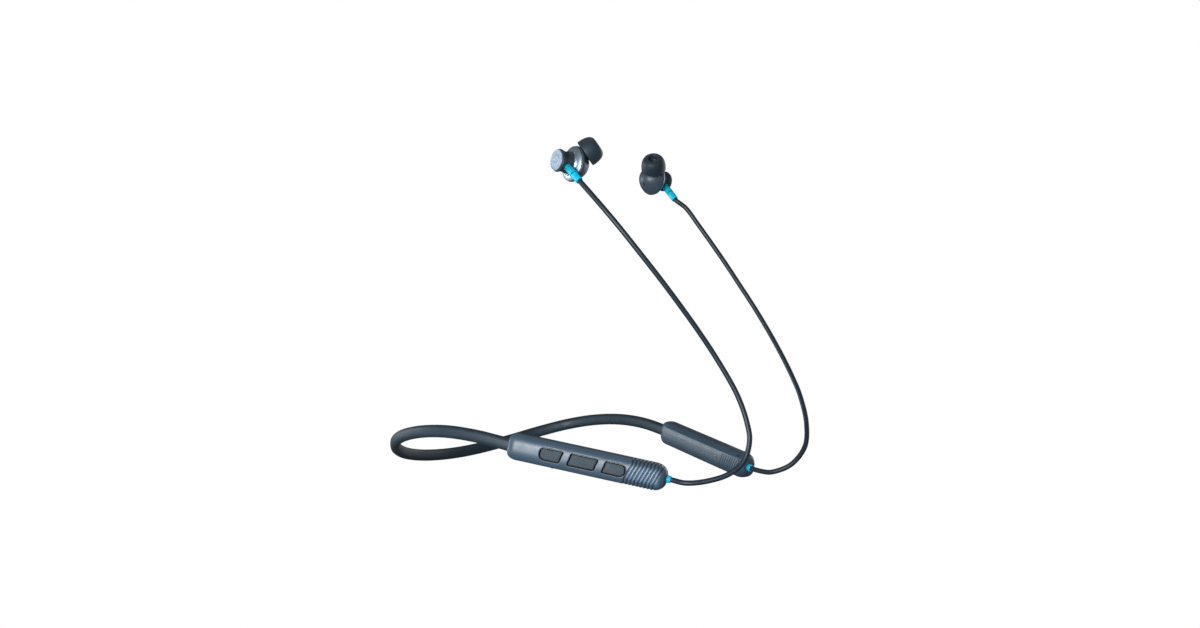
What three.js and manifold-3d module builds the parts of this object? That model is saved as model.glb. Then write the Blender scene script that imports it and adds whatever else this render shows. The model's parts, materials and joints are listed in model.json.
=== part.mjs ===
// Neckband earphones: a flexible band worn round the back of the neck, a control pod and a battery
// pod on its two arms, and an angled-nozzle earbud on a cord from each pod. Millimetres. X points to
// the wearer's left, -Y forwards, +Z up. The origin is the middle of the band's inner face, where it
// rests on the nape.
import * as THREE from 'three';
import { mergeVertices } from 'three/addons/utils/BufferGeometryUtils.js';
import Module from 'manifold-3d';

const wasm = await Module();
wasm.setup();

// ---------------------------------------------------------------- driving dimensions

const GAP = 0.3; // clearance between touching pieces

const BAND = { height: 5.4, thickness: 4, boreHeight: 3, boreThickness: 1.6, roundness: 2.6 };
const WIRE = { radius: 0.45, offset: 0.65, reach: 4.5 };
const FLEX = { at: 31, gap: 1 }; // where each arm bends, along the band from its middle

const POD_REAR = new THREE.Vector3(60.85, -88.85, 11.45);
const POD_FRONT = new THREE.Vector3(34.35, -149.45, -1.63);
const POD = { length: POD_REAR.distanceTo(POD_FRONT), height: 11.4, thickness: 9, roundness: 2.8 };
// Each end is rounded: its half thickness and half height at the very end, and how far the rounding runs.
const POD_TAIL = { thickness: 2, height: 3, thicknessReach: 4, heightReach: 4 };
const POD_NOSE = { thickness: 1.5, height: 1.6, thicknessReach: 4.2, heightReach: 5.4 };
const WALL = 1;
const RIBS = { count: 9, first: 51.3, pitch: 1.54, depth: 0.35, slant: 0.36, slantHeight: 3.4 };
const CHANNEL = { rear: 1.7, front: 1.75 };
const COLLAR = { radius: 1.6, length: 1.6, stem: 1.4, sunk: 0.4 };

const BUTTON = {
  height: 4.7, drop: 0.28, slant: 0.25, round: 0.5, top: 4.35, bottom: 2.4, flange: 0.45, flangeTop: 2.8,
};
const BUTTONS = [
  { name: 'volume_down', from: 14.45, to: 23.3, roundEnd: 'rear' },
  { name: 'multifunction', from: 27.15, to: 38.1, roundEnd: 'none' },
  { name: 'volume_up', from: 41.85, to: 50.5, roundEnd: 'front' },
];

const PORT = { from: 11.9, to: 20.2, deep: -2.9, shallow: -0.15, coverTop: -4.95 };
const LED = { at: 47.5, radius: 1, seat: -2.95 };

const CORD = { diameter: 2.2, sides: 8, step: 5.2, gap: 0.65 };
const RELIEF = { root: 5.3, end: 13.5, rootRadius: 1.6, endRadius: 1.5, along: -5.2 };
const NOZZLE = { angle: 54, origin: -0.8, radius: 2.4, bore: 1.7, end: 11.5 };
const TIP_BASE = 6.9; // ear tip's open edge, along the nozzle from its origin

// Band centreline from the nape to the left pod.
const BAND_ROUTE = [
  [15, 1, 0.6], [29, -2, 2.4], [42, -8.2, 5.5], [53.2, -17.3, 9.4], [61.1, -29.4, 13.1],
  [64.9, -43.6, 15.5], [65.9, -58.5, 16.1], [64.6, -73.3, 14.7],
];

// Each earbud: the middle of its accent ring, the way its barrel points into the ear, the rough way
// its nozzle points, the way its cord leaves, and the cord's route from the pod's collar up to it.
const EARBUDS = {
  right: {
    centre: [-47.8, -112.1, 128], barrel: [0.928, -0.353, -0.121], nozzle: [0.443, -0.691, 0.571],
    cordExit: [-0.134, -0.737, -0.662],
    cordRoute: [
      [-33, -157.4, -3], [-29.2, -164.4, -2.3], [-24.2, -172.3, 0.6], [-20.4, -177, 5.5],
      [-18.2, -178.7, 14], [-17.9, -177.3, 21.5], [-19.4, -173.7, 32.5], [-23.8, -166.8, 47],
      [-28.6, -161.5, 57.7], [-34.7, -155.8, 69], [-41, -150, 80], [-46.9, -143.5, 91],
      [-50.9, -137.2, 100.4], [-53.2, -131.2, 108], [-54, -124.9, 114.8],
    ],
  },
  left: {
    centre: [45.3, -91.4, 132.2], barrel: [-0.972, 0.229, 0.055], nozzle: [-0.654, -0.381, 0.654],
    cordExit: [-0.13, -0.681, -0.72],
    cordRoute: [
      [33.4, -157.7, -3.1], [33.2, -161.6, -2.9], [35.3, -169.5, 0.5], [40.1, -173.8, 8],
      [46, -171.8, 18], [52, -165.6, 30.3], [55, -160.4, 38.3], [57.2, -154.4, 47.2], [58.8, -147, 58],
      [58.9, -139.3, 69.5], [57.9, -131.5, 81], [56.7, -123.6, 92.6], [55.1, -116.9, 102.3],
      [53.2, -111.6, 110.2], [50.8, -106.3, 118.1],
    ],
  },
};

// ---------------------------------------------------------------- materials

const finish = (color, roughness, metalness) => new THREE.MeshStandardMaterial({ color, roughness, metalness });
const MATERIALS = {
  silicone: finish('#35444f', 0.62, 0),
  pod: finish('#566676', 0.4, 0.15),
  key: finish('#46535f', 0.75, 0),
  accent: finish('#19c3dc', 0.5, 0),
  cord: finish('#2f3b46', 0.7, 0),
  barrel: finish('#2a343c', 0.45, 0.1),
  metal: finish('#b9c7d6', 0.28, 0.9),
  tip: finish('#2f3c46', 0.6, 0),
  steel: finish('#9aa0a6', 0.35, 1),
  board: finish('#1f5a3a', 0.55, 0.1),
  chip: finish('#1b1c1f', 0.5, 0),
  cell: finish('#c9ccd0', 0.35, 0.6),
  window: finish('#dfe8ee', 0.2, 0),
};

// ---------------------------------------------------------------- solids and booleans

// Turns the triangles round when they face inwards.
function facingOut(geometry) {
  const indexed = geometry.index ? geometry : mergeVertices(geometry);
  const position = indexed.attributes.position;
  const index = indexed.index.array;
  const [a, b, c] = [new THREE.Vector3(), new THREE.Vector3(), new THREE.Vector3()];
  let volume = 0;
  for (let i = 0; i < index.length; i += 3) {
    a.fromBufferAttribute(position, index[i]);
    b.fromBufferAttribute(position, index[i + 1]);
    c.fromBufferAttribute(position, index[i + 2]);
    volume += a.dot(b.cross(c));
  }
  if (volume < 0) {
    for (let i = 0; i < index.length; i += 3) {
      [index[i], index[i + 1]] = [index[i + 1], index[i]];
    }
  }
  return indexed;
}

// Merges shared corners and drops triangles that have lost an edge.
function welded(geometry) {
  const bare = geometry.clone();
  bare.deleteAttribute('normal');
  bare.deleteAttribute('uv');
  const merged = mergeVertices(bare, 1e-4);
  const kept = [];
  const index = merged.index.array;
  for (let i = 0; i < index.length; i += 3) {
    const [a, b, c] = [index[i], index[i + 1], index[i + 2]];
    if (a !== b && b !== c && c !== a) kept.push(a, b, c);
  }
  merged.setIndex(kept);
  return facingOut(merged);
}

function solid(geometry) {
  const shape = welded(geometry);
  return new wasm.Manifold(new wasm.Mesh({
    numProp: 3,
    vertProperties: new Float32Array(shape.attributes.position.array),
    triVerts: new Uint32Array(shape.index.array),
  }));
}

function geometryOf(manifold) {
  const mesh = manifold.getMesh();
  const geometry = new THREE.BufferGeometry();
  geometry.setAttribute('position', new THREE.BufferAttribute(new Float32Array(mesh.vertProperties), 3));
  geometry.setIndex([...mesh.triVerts]);
  geometry.computeVertexNormals();
  return geometry;
}

function cut(geometry, ...tools) {
  let result = solid(geometry);
  for (const tool of tools) result = result.subtract(solid(tool));
  return geometryOf(result);
}

const join = (a, b) => geometryOf(solid(a).add(solid(b)));
const overlap = (a, b) => geometryOf(solid(a).intersect(solid(b)));

// ---------------------------------------------------------------- basic shapes

function block(x0, x1, y0, y1, z0, z1) {
  const box = new THREE.BoxGeometry(x1 - x0, y1 - y0, z1 - z0);
  return box.translate((x0 + x1) / 2, (y0 + y1) / 2, (z0 + z1) / 2);
}

// A solid of revolution about local X. Profile points are [along X, radius].
function turned(profile, segments = 20) {
  const points = profile.map(([along, radius]) => new THREE.Vector2(radius, along));
  return welded(new THREE.LatheGeometry(points, segments).rotateZ(-Math.PI / 2));
}

const rod = (from, to, radius, segments = 12) =>
  turned([[from, 0], [from, radius], [to, radius], [to, 0]], segments);

// A plate with an outline in local X and Z, between two heights in local Y.
function plate(outline, low, high) {
  const slab = new THREE.ExtrudeGeometry(outline, { depth: high - low, bevelEnabled: false, curveSegments: 5 });
  return slab.rotateX(Math.PI / 2).translate(0, high, 0);
}

// A closed body through rings of equally many points, capped at both ends.
function lofted(rings) {
  const count = rings[0].length;
  const corners = rings.flat();
  const middle = (ring) => ring.reduce((sum, p) => sum.add(p), new THREE.Vector3()).divideScalar(count);
  const faces = [];
  for (let r = 0; r + 1 < rings.length; r += 1) {
    for (let k = 0; k < count; k += 1) {
      const here = r * count + k;
      const next = r * count + ((k + 1) % count);
      faces.push(here, next, here + count, next, next + count, here + count);
    }
  }
  const first = corners.push(middle(rings[0])) - 1;
  const last = corners.push(middle(rings.at(-1))) - 1;
  const end = (rings.length - 1) * count;
  for (let k = 0; k < count; k += 1) {
    const next = (k + 1) % count;
    faces.push(first, next, k, last, end + k, end + next);
  }
  const geometry = new THREE.BufferGeometry().setFromPoints(corners);
  geometry.setIndex(faces);
  return facingOut(geometry);
}

// Points round a rounded rectangle: a superellipse of the given half sizes.
function superellipse(halfWidth, halfHeight, roundness, count) {
  const power = (value) => Math.sign(value) * Math.abs(value) ** (2 / roundness);
  return Array.from({ length: count }, (_, k) => {
    const angle = (2 * Math.PI * (k + 0.5)) / count;
    return new THREE.Vector2(halfWidth * power(Math.cos(angle)), halfHeight * power(Math.sin(angle)));
  });
}

function mirroredY(geometry) {
  return facingOut(geometry.clone().scale(1, -1, 1));
}

// ---------------------------------------------------------------- band

const toVector = (point) => new THREE.Vector3(...point);
const flipX = ([x, y, z]) => [-x, y, z];

const podDirection = POD_FRONT.clone().sub(POD_REAR).normalize();
const podInside = POD_REAR.clone().addScaledVector(podDirection, WIRE.reach);
const halfRoute = [...BAND_ROUTE, POD_REAR.toArray(), podInside.toArray()];
const bandCurve = new THREE.CatmullRomCurve3(
  [...halfRoute.map(flipX).reverse(), [0, BAND.thickness / 2, 0], ...halfRoute].map(toVector),
  false, 'centripetal',
);
bandCurve.arcLengthDivisions = 400;
const halfLength = bandCurve.getLength() / 2;

// A stretch of the band between two distances from its middle, with its section kept upright.
class Stretch extends THREE.Curve {
  constructor(from, to) {
    super();
    this.from = from;
    this.to = to;
  }

  getPoint(t) {
    const along = THREE.MathUtils.lerp(this.from, this.to, t);
    return bandCurve.getPointAt(THREE.MathUtils.clamp(0.5 + along / (2 * halfLength), 0, 1));
  }

  computeFrenetFrames(segments) {
    const frames = { tangents: [], normals: [], binormals: [] };
    for (let i = 0; i <= segments; i += 1) {
      const tangent = this.getTangentAt(i / segments);
      const upright = new THREE.Vector3(0, 0, 1).addScaledVector(tangent, -tangent.z).normalize();
      frames.tangents.push(tangent);
      frames.normals.push(upright.clone().cross(tangent));
      frames.binormals.push(upright);
    }
    return frames;
  }
}

function alongBand(section, from, to, step) {
  const steps = Math.max(1, Math.round((to - from) / step));
  return welded(new THREE.ExtrudeGeometry(section, {
    steps, bevelEnabled: false, extrudePath: new Stretch(from, to),
  }));
}

function bandSection() {
  const section = new THREE.Shape(superellipse(BAND.thickness / 2, BAND.height / 2, BAND.roundness, 12));
  section.holes.push(new THREE.Path(superellipse(BAND.boreThickness / 2, BAND.boreHeight / 2, 5, 6)));
  return section;
}

function wireSection(offset) {
  const ring = superellipse(WIRE.radius, WIRE.radius, 2, 6);
  return new THREE.Shape(ring.map((p) => p.add(new THREE.Vector2(0, offset))));
}

// ---------------------------------------------------------------- pods

// Share of the full size that an end's rounding has reached at a distance from it.
const rounding = (distance, reach) => Math.sqrt(1 - (1 - THREE.MathUtils.clamp(distance / reach, 0, 1)) ** 2);

// Half the pod's thickness or height at a distance from its rear.
function halfSize(x, side) {
  const full = POD[side] / 2;
  const reach = `${side}Reach`;
  const tail = POD_TAIL[side] + (full - POD_TAIL[side]) * rounding(x, POD_TAIL[reach]);
  const nose = POD_NOSE[side] + (full - POD_NOSE[side]) * rounding(POD.length - x, POD_NOSE[reach]);
  return Math.min(tail, nose);
}

// Rings of the pod's outside: [distance from the rear, slant, depth below the smooth surface].
function podRings() {
  const rings = [[0, 0, 0], [0.25, 0, 0], [1, 0, 0], [2.2, 0, 0], [4, 0, 0], [30, RIBS.slant * 0.6, 0]];
  for (let rib = 0; rib < RIBS.count; rib += 1) {
    const start = RIBS.first + rib * RIBS.pitch;
    rings.push([start, RIBS.slant, 0]);
    rings.push([start + 0.3 * RIBS.pitch, RIBS.slant, RIBS.depth]);
    rings.push([start + 0.6 * RIBS.pitch, RIBS.slant, 0]);
  }
  for (const [short, slant] of [[1.6, 0.1], [0.7, 0.03], [0.2, 0], [0, 0]]) {
    rings.push([POD.length - short, slant, 0]);
  }
  return rings;
}

function podRing([distance, slant, depth]) {
  return superellipse(1, 1, POD.roundness, 20).map((p) => {
    const lean = THREE.MathUtils.clamp(p.y * halfSize(distance, 'height'), -RIBS.slantHeight, RIBS.slantHeight);
    const x = distance + slant * lean;
    const [t, h] = [halfSize(x, 'thickness') - depth, halfSize(x, 'height') - depth];
    return new THREE.Vector3(x, p.x * t, p.y * h);
  });
}

function podCavity() {
  const [t, h] = [POD.thickness / 2 - WALL, POD.height / 2 - WALL];
  const end = POD.length - 4.5;
  return lofted([[5, 2, 3], [8, t, h], [end - 3.5, t, h], [end, 2, 3]].map(([x, halfThickness, halfHeight]) =>
    superellipse(halfThickness, halfHeight, POD.roundness, 12).map((p) => new THREE.Vector3(x, p.x, p.y))));
}

const podOutside = lofted(podRings().map((ring) => podRing(ring)));
const podInsides = [
  podCavity(),
  rod(-1, 7, CHANNEL.rear, 8),
  rod(POD.length - 7, POD.length + 1, CHANNEL.front, 8),
];

// One half of the casing: the outer half is +Y, the half that lies on the neck is -Y.
function podShell(half, ...openings) {
  const edge = GAP / 2;
  const side = half === 'outer' ? block(-2, 73, edge, 7, -8, 8) : block(-2, 73, -7, -edge, -8, 8);
  return cut(overlap(podOutside, side), ...podInsides, ...openings);
}

// A key's outline: one or two ends slanted like the ribs, the other end rounded.
function keyOutline(key, grow) {
  const h = BUTTON.height / 2 + grow;
  const from = key.from - grow;
  const to = key.to + grow;
  const lean = BUTTON.slant * h;
  const r = BUTTON.round;
  const outline = new THREE.Shape();
  if (key.roundEnd === 'rear') {
    outline.moveTo(from + h * 0.9, -h);
  } else {
    outline.moveTo(from - lean + r, -h);
  }
  if (key.roundEnd === 'front') {
    outline.lineTo(to - h * 0.9, -h);
    outline.bezierCurveTo(to, -h, to, h, to - h * 0.9, h);
  } else {
    outline.lineTo(to - lean - r, -h);
    outline.quadraticCurveTo(to - lean, -h, to - lean + r * 0.27, -h + r);
    outline.lineTo(to + lean - r * 0.27, h - r);
    outline.quadraticCurveTo(to + lean, h, to + lean - r, h);
  }
  if (key.roundEnd === 'rear') {
    outline.lineTo(from + h * 0.9, h);
    outline.bezierCurveTo(from, h, from, -h, from + h * 0.9, -h);
  } else {
    outline.lineTo(from + lean + r, h);
    outline.quadraticCurveTo(from + lean, h, from + lean - r * 0.27, h - r);
    outline.lineTo(from - lean + r * 0.27, -h + r);
    outline.quadraticCurveTo(from - lean, -h, from - lean + r, -h);
  }
  return outline;
}

const lowered = (geometry) => geometry.translate(0, 0, -BUTTON.drop);

const keyOpening = (key) => lowered(plate(keyOutline(key, GAP), BUTTON.bottom, 8));

function keyCap(key) {
  const cap = plate(keyOutline(key, 0), BUTTON.bottom, BUTTON.top);
  const flange = plate(keyOutline(key, BUTTON.flange), BUTTON.bottom, BUTTON.flangeTop);
  return lowered(join(cap, flange));
}

const keyMiddle = (key) => (key.from + key.to) / 2;

function tactSwitch(key) {
  return lowered(rod(1.3, 1.9, 2, 8).rotateZ(Math.PI / 2).translate(keyMiddle(key), 0, 0));
}

const portOpening = () => block(PORT.from, PORT.to, PORT.deep, 0, -8, -2.5);

function usbSocket() {
  const shell = block(PORT.from + 0.4, PORT.to - 0.4, -2.6, -0.1, -4.6, 0.4);
  return cut(shell, block(PORT.from + 0.9, PORT.to - 0.9, -2.15, -0.55, -6, -0.6));
}

function portCover() {
  const flap = block(PORT.from + GAP, PORT.to - GAP, PORT.deep + GAP, PORT.shallow - GAP, -8, PORT.coverTop);
  return overlap(podOutside, flap);
}

function ledLens() {
  return rod(-POD.thickness / 2 + 0.05, LED.seat, LED.radius, 8).rotateZ(Math.PI / 2).translate(LED.at, 0, 0);
}

const lensOpening = () =>
  rod(-6, -2, LED.radius + GAP, 8).rotateZ(Math.PI / 2).translate(LED.at, 0, 0);

function cordCollar() {
  const end = POD.length;
  const { radius, length, stem, sunk } = COLLAR;
  return turned([
    [end - 5.5, 0], [end - 5.5, stem], [end - sunk, stem], [end - sunk, radius], [end + length * 0.55, radius],
    [end + length * 0.65, radius - 0.15], [end + length, radius - 0.2], [end + length, 0],
  ], 12);
}

// ---------------------------------------------------------------- earbuds

// Barrel pieces lie along local X, from the end cap at -X to the front dome at +X.
const barrelShell = () => turned([
  [-7.8, 3.7], [-7.8, 4.8], [-7.2, 4.85], [-6.3, 4.5], [-5.4, 4.3], [-4.4, 4.35], [-3.4, 4.6], [-2.6, 4.75],
  [-2.6, 3.6], [-0.6, 3.6], [-0.6, 3], [-3.2, 3], [-3.2, 3.7], [-7.8, 3.7],
]);
const endCap = () => turned([
  [-8.6, 0], [-8.6, 4.1], [-8.35, 4.4], [-8.1, 4.4], [-8.1, 3.3], [-7.1, 3.3], [-7.1, 0],
]);
const magnet = () => rod(-6.8, -4.8, 3.2);
const accentRing = () => turned([
  [-2.3, 3.9], [-2.3, 5.1], [-1.9, 5.6], [-0.9, 7.1], [-0.6, 7.25], [-0.6, 3.9], [-2.3, 3.9],
]);
const driver = () => turned([[0.1, 0], [0.1, 3.2], [0.9, 3.2], [0.9, 4.9], [2.5, 4.9], [2.5, 0]]);

// A piece made along local X, set along the nozzle's axis.
function alongNozzle(geometry) {
  const angle = THREE.MathUtils.degToRad(NOZZLE.angle);
  return geometry.rotateY(-angle).translate(NOZZLE.origin, 0, 0);
}

function frontHousing() {
  const dome = turned([
    [-0.3, 0], [-0.3, 7.3], [0.3, 7.65], [1, 7.4], [2, 6.85], [3, 6.2], [4, 5.45], [5, 4.5], [6, 3.1],
    [6.6, 1.6], [6.8, 0],
  ]);
  const hollow = turned([[-1, 0], [-1, 6], [1, 6], [2.5, 5.3], [4, 4.2], [5, 3.1], [5.7, 0]], 16);
  const spout = alongNozzle(rod(5, NOZZLE.end, NOZZLE.radius, 14));
  const bore = alongNozzle(rod(3.5, NOZZLE.end + 1, NOZZLE.bore, 10));
  return cut(join(dome, spout), hollow, bore);
}

const nozzleMesh = () => alongNozzle(rod(NOZZLE.end - 0.9, NOZZLE.end - 0.5, NOZZLE.bore - GAP, 10));

const earTip = () => alongNozzle(turned([
  [6.3, 2.1], [6.65, 2.7], [6.5, 3.5], [5.95, 4.4], [4.9, 5.2], [3.4, 5.65], [1.6, 5.82], [0, 5.8], [0, 5.35],
  [1.6, 5.3], [3.1, 5], [4.2, 4.35], [4.6, 3.5], [0.2, 3.5], [0.2, 2.75], [4.9, 2.75], [4.9, 2.1], [6.3, 2.1],
].map(([along, radius]) => [along + TIP_BASE, radius])));

// The sleeve runs out of the barrel's side along local X.
const strainRelief = () => turned([
  [RELIEF.root, 0], [RELIEF.root, RELIEF.rootRadius], [RELIEF.end - 0.4, RELIEF.endRadius],
  [RELIEF.end, RELIEF.endRadius - 0.25], [RELIEF.end, 0],
], 12);

// ---------------------------------------------------------------- assembly

const object = new THREE.Group();

function addPiece(parent, name, geometry, material) {
  const mesh = new THREE.Mesh(geometry, MATERIALS[material]);
  mesh.name = name;
  parent.add(mesh);
}

// A group whose local X runs along one direction and whose local Z leans towards another.
function placed(origin, along, towards) {
  const x = along.clone().normalize();
  const z = towards.clone().addScaledVector(x, -towards.dot(x)).normalize();
  const group = new THREE.Group();
  group.quaternion.setFromRotationMatrix(new THREE.Matrix4().makeBasis(x, z.clone().cross(x), z));
  group.position.copy(origin);
  object.add(group);
  return group;
}

function addBand() {
  const inPod = halfLength;
  const atPod = halfLength - WIRE.reach - GAP;
  const [before, after] = [FLEX.at - FLEX.gap / 2, FLEX.at + FLEX.gap / 2];
  const stretches = {
    nape: () => [-before, before],
    right_arm: (reach) => [-reach, -after],
    left_arm: (reach) => [after, reach],
  };
  for (const [place, span] of Object.entries(stretches)) {
    addPiece(object, `band_${place}`, alongBand(bandSection(), ...span(atPod), 6), 'silicone');
    addPiece(object, `memory_wire_${place}`, alongBand(wireSection(WIRE.offset), ...span(inPod), 9), 'steel');
    addPiece(object, `signal_harness_${place}`, alongBand(wireSection(-WIRE.offset), ...span(inPod), 9), 'chip');
  }
}

// A pod group's local X runs from the pod's rear to its front, and its outer side is +Y on the left
// pod and -Y on the right one.
function podGroup(side) {
  const rear = new THREE.Vector3(side * POD_REAR.x, POD_REAR.y, POD_REAR.z);
  const along = new THREE.Vector3(side * podDirection.x, podDirection.y, podDirection.z);
  return placed(rear, along, new THREE.Vector3(0, 0, 1));
}

function addRightPod() {
  const pod = podGroup(-1);
  const add = (name, geometry, material) => addPiece(pod, name, mirroredY(geometry), material);
  add('right_pod_outer_shell', podShell('outer', ...BUTTONS.map(keyOpening)), 'pod');
  add('right_pod_inner_shell', podShell('inner', portOpening()), 'pod');
  for (const key of BUTTONS) {
    add(`${key.name}_button`, keyCap(key), 'key');
    add(`${key.name}_switch`, tactSwitch(key), 'chip');
  }
  add('main_board', block(10, 58, 0.2, 1, -3.7, 3.7), 'board');
  add('bluetooth_chip', block(28, 35, -1.3, -0.1, -3.5, 3.5), 'chip');
  add('microphone', rod(-1.6, -0.1, 2, 10).rotateZ(Math.PI / 2).translate(54, 0, 0), 'metal');
  add('usb_socket', usbSocket(), 'steel');
  add('usb_port_cover', portCover(), 'key');
  add('right_cord_collar', cordCollar(), 'accent');
}

function addLeftPod() {
  const pod = podGroup(1);
  const add = (name, geometry, material) => addPiece(pod, name, geometry, material);
  add('left_pod_outer_shell', podShell('outer'), 'pod');
  add('left_pod_inner_shell', podShell('inner', lensOpening()), 'pod');
  add('battery_cell', block(15, 53, -2, 2.6, -3.5, 3.5), 'cell');
  add('protection_board', block(8, 14, -0.4, 0.4, -3, 3), 'board');
  add('led_board', block(18, 50, -2.6, -2.3, -1.5, 1.5), 'board');
  add('led_lens', ledLens(), 'window');
  add('left_cord_collar', cordCollar(), 'accent');
}

function addEarbud(sideName, sign) {
  const { centre, barrel, nozzle, cordExit, cordRoute } = EARBUDS[sideName];
  const bud = placed(toVector(centre), toVector(barrel), toVector(nozzle));
  const add = (name, geometry, material) => addPiece(bud, `${sideName}_${name}`, geometry, material);
  add('barrel', barrelShell(), 'barrel');
  add('end_cap', endCap(), 'metal');
  add('magnet', magnet(), 'steel');
  add('accent_ring', accentRing(), 'metal');
  add('driver', driver(), 'chip');
  add('front_housing', frontHousing(), 'barrel');
  add('nozzle_mesh', nozzleMesh(), 'steel');
  add('ear_tip', earTip(), 'tip');

  const barrelAxis = toVector(barrel).normalize();
  const exit = toVector(cordExit).normalize();
  const root = toVector(centre).addScaledVector(barrelAxis, RELIEF.along);
  const sleeve = placed(root, exit, barrelAxis);
  addPiece(sleeve, `${sideName}_strain_relief`, strainRelief(), 'accent');

  const collar = toVector([sign * POD_FRONT.x, POD_FRONT.y, POD_FRONT.z]);
  const ahead = toVector([sign * podDirection.x, podDirection.y, podDirection.z]);
  const low = collar.clone().addScaledVector(ahead, COLLAR.length + CORD.gap);
  const high = root.clone().addScaledVector(exit, RELIEF.end + CORD.gap);
  const route = new THREE.CatmullRomCurve3([low, ...cordRoute.map(toVector), high], false, 'centripetal');
  const section = new THREE.Shape(superellipse(CORD.diameter / 2, CORD.diameter / 2, 2, CORD.sides));
  const steps = Math.round(route.getLength() / CORD.step);
  const cord = new THREE.ExtrudeGeometry(section, { steps, bevelEnabled: false, extrudePath: route });
  addPiece(object, `${sideName}_cord`, welded(cord), 'cord');
}

addBand();
addRightPod();
addLeftPod();
addEarbud('right', -1);
addEarbud('left', 1);

export default object;
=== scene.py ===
"""Neckband earphones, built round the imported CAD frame. Metres; X to the wearer's left, -Y forwards."""
import json
import math

import bmesh
import bpy
import numpy as np
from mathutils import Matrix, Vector


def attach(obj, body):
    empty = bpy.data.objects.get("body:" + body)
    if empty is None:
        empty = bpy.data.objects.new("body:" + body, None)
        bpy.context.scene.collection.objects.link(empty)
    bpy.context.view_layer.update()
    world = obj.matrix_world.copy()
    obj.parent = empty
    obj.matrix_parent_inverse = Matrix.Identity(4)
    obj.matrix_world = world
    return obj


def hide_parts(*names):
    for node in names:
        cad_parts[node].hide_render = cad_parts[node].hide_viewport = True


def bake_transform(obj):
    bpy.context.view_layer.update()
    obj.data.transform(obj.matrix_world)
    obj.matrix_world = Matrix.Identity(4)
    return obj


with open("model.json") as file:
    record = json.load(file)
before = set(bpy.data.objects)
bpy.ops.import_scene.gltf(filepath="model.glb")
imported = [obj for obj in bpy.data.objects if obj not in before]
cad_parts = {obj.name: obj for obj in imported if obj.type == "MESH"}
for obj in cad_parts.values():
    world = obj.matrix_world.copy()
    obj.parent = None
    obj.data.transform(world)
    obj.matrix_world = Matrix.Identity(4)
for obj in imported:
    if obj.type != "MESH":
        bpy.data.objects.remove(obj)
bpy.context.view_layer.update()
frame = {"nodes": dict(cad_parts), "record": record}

MM = 0.001

# ---------------------------------------------------------------- facts shared with the CAD model, mm

POD_REAR = np.array([60.85, -88.85, 11.45])
POD_FRONT = np.array([34.35, -149.45, -1.63])
POD_LENGTH = float(np.linalg.norm(POD_FRONT - POD_REAR))
POD_HALF_HEIGHT = 5.7
POD_HALF_THICKNESS = 4.5
POD_ROUNDNESS = 2.8
# Half sizes at the pod's two end faces, and how far in they reach their full values.
POD_TAIL = {"thickness": 2.0, "thickness_reach": 4.0, "height": 3.0, "height_reach": 4.0}
POD_NOSE = {"thickness": 1.5, "thickness_reach": 4.2, "height": 1.6, "height_reach": 5.4}
BAND_HALF_HEIGHT = 2.7
BAND_HALF_THICKNESS = 2.0
BAND_ROUNDNESS = 2.6
BAND_ROUTE = [
    (15, 1, 0.6), (29, -2, 2.4), (42, -8.2, 5.5), (53.2, -17.3, 9.4), (61.1, -29.4, 13.1),
    (64.9, -43.6, 15.5), (65.9, -58.5, 16.1), (64.6, -73.3, 14.7),
]
WIRE_REACH = 4.5
WIRE_RADIUS = 0.45
WIRE_OFFSET = 0.65
CORD_DIAMETER = 2.2
COLLAR_LENGTH = 1.6
NOZZLE_ANGLE = math.radians(54)
NOZZLE_ORIGIN = -0.8
TIP_BASE = 6.9
RELIEF_ALONG = -5.2
RELIEF_END = 13.5

# slot_at turns the slot across the relief, from the relief's local Y.
EARBUDS = {
    "right": {
        "sign": -1, "slot_at": math.radians(-126),
        "centre": (-47.8, -112.1, 128), "barrel": (0.928, -0.353, -0.121),
        "nozzle": (0.443, -0.691, 0.571), "exit": (-0.134, -0.737, -0.662),
        "route": [
            (-33, -157.4, -3), (-29.2, -164.4, -2.3), (-24.2, -172.3, 0.6), (-20.4, -177, 5.5),
            (-18.2, -178.7, 14), (-17.9, -177.3, 21.5), (-19.4, -173.7, 32.5), (-23.8, -166.8, 47),
            (-28.6, -161.5, 57.7), (-34.7, -155.8, 69), (-41, -150, 80), (-46.9, -143.5, 91),
            (-50.9, -137.2, 100.4), (-53.2, -131.2, 108), (-54, -124.9, 114.8),
        ],
    },
    "left": {
        "sign": 1, "slot_at": math.radians(57),
        "centre": (45.3, -91.4, 132.2), "barrel": (-0.972, 0.229, 0.055),
        "nozzle": (-0.654, -0.381, 0.654), "exit": (-0.13, -0.681, -0.72),
        "route": [
            (33.4, -157.7, -3.1), (33.2, -161.6, -2.9), (35.3, -169.5, 0.5), (40.1, -173.8, 8),
            (46, -171.8, 18), (52, -165.6, 30.3), (55, -160.4, 38.3), (57.2, -154.4, 47.2),
            (58.8, -147, 58), (58.9, -139.3, 69.5), (57.9, -131.5, 81), (56.7, -123.6, 92.6),
            (55.1, -116.9, 102.3), (53.2, -111.6, 110.2), (50.8, -106.3, 118.1),
        ],
    },
}

KEYS = [
    {"name": "volume_down", "from": 14.45, "to": 23.3, "round": "rear"},
    {"name": "multifunction", "from": 27.15, "to": 38.1, "round": "none"},
    {"name": "volume_up", "from": 41.85, "to": 50.5, "round": "front"},
]
KEY_HALF_HEIGHT = 2.35
KEY_DROP = 0.28
KEY_SLANT = 0.25
KEY_TOP = 4.38
PORT = {"from": 11.9, "to": 20.2, "deep": -2.9}
LED_AT = 47.5
LED_RADIUS = 1.0
RIBS = {
    "first": 51.78, "pitch": 1.54, "grooves": 9, "slant": 0.36, "slant_height": 3.4,
    "outer_depth": 0.3, "inner_depth": 0.17,
}

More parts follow.
